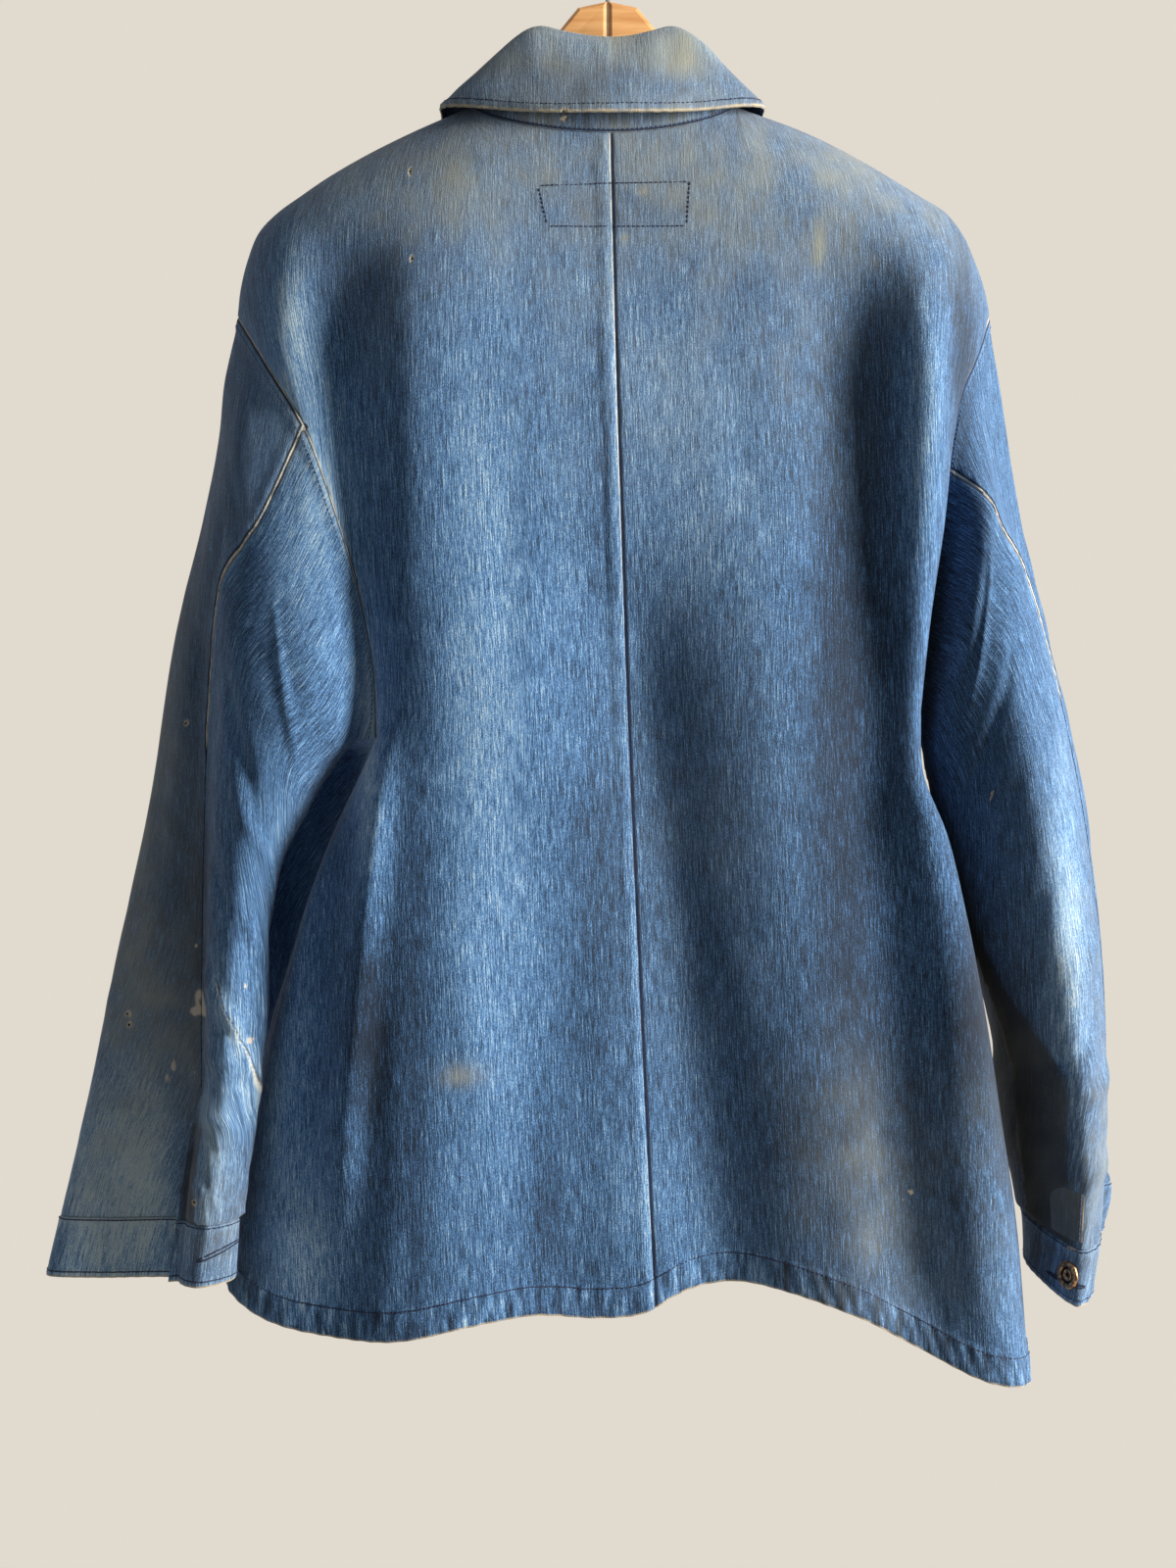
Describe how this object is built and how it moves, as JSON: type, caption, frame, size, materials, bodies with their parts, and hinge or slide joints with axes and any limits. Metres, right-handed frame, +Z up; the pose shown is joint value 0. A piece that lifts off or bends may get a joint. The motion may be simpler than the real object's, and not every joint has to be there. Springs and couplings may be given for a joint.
{
  "type": "chore jacket on a wooden hanger",
  "caption": "Worn blue denim chore jacket with a turned-down collar, long sleeves and metal shank buttons, hung back outward on a plain wooden hanger with a wire hook.",
  "frame": {"origin": "inner top of the hanger hook, where the rail carries it", "axes": "+Z up, the jacket's back faces -Y, the jacket's own left sleeve is at -X"},
  "size_m": [0.7289, 0.1334, 0.9772],
  "materials": {
    "denim": "washed and faded cotton denim, matte",
    "button_copper": "dull aged copper",
    "hanger_wood": "clear varnish",
    "hook_wire": "plated wire"
  },
  "bodies": {
    "root": {"back_left": "denim", "back_right": "denim", "front_left": "denim", "front_right": "denim", "sleeve_under_left": "denim", "sleeve_top_left": "denim", "sleeve_under_right": "denim", "sleeve_top_right": "denim", "cuff_left": "denim", "cuff_right": "denim", "slit_strip_left": "denim", "slit_strip_right": "denim", "pocket_left": "denim", "pocket_right": "denim", "collar_stand": "denim", "collar_leaf": "denim", "button_front_1": "button_copper", "button_front_2": "button_copper", "button_front_3": "button_copper", "button_front_4": "button_copper", "button_front_5": "button_copper", "button_cuff_left": "button_copper", "button_cuff_right": "button_copper", "hanger_arm_left": "hanger_wood", "hanger_arm_right": "hanger_wood", "hanger_hook": "hook_wire"}
  },
  "joints": []
}
